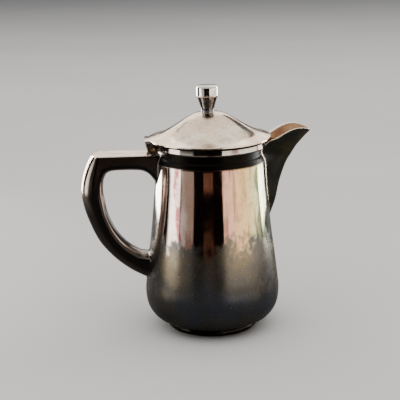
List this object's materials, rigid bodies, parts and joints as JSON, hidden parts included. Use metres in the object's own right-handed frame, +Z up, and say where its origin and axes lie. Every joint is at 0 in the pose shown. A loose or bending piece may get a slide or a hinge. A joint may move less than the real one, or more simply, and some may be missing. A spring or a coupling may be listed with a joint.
{
  "type": "lidded serving jug",
  "caption": "Small silver plated serving jug with a tapered round body, beak spout, hollow D handle and a hinged ogee lid with a turned knob, for cream or hot milk.",
  "frame": {"origin": "centre of the foot ring's bottom face, on the table", "axes": "+Z up along the body's axis, +X out of the spout, -X out of the handle, +Y across the jug along the hinge pin"},
  "size_m": [0.1163, 0.0688, 0.1242],
  "materials": {
    "silver_body": "aged silver plate, polished, with brown and grey tarnish",
    "silver_lid": "aged silver plate, softly polished, slightly mottled",
    "silver_handle": "aged silver plate, polished, dark tarnish on the sides",
    "silver_spout": "aged silver plate, copper brown inside the channel",
    "silver_hinge": "aged silver plate, blackened in the recesses",
    "brass_pin": "worn bare brass",
    "silver_knob": "bright turned silver plate"
  },
  "bodies": {
    "jug": {"body_shell": "silver_body", "foot_ring": "silver_body", "collar": "silver_body", "spout": "silver_spout", "handle_near_half": "silver_handle", "handle_far_half": "silver_handle", "hinge_lug_near": "silver_hinge", "hinge_lug_far": "silver_hinge", "hinge_pin": "brass_pin"},
    "lid": {"lid_shell": "silver_lid", "lid_bezel": "silver_lid", "hinge_leaf": "silver_lid", "knob": "silver_knob", "knob_screw": "silver_knob", "knob_washer": "silver_lid"}
  },
  "joints": [
    {"name": "lid_hinge", "type": "hinge", "parent": "jug", "child": "lid", "pos_m": [-0.0294, 0, 0.0941], "axis": [0, -1, 0], "range_deg": [0, 79]}
  ]
}
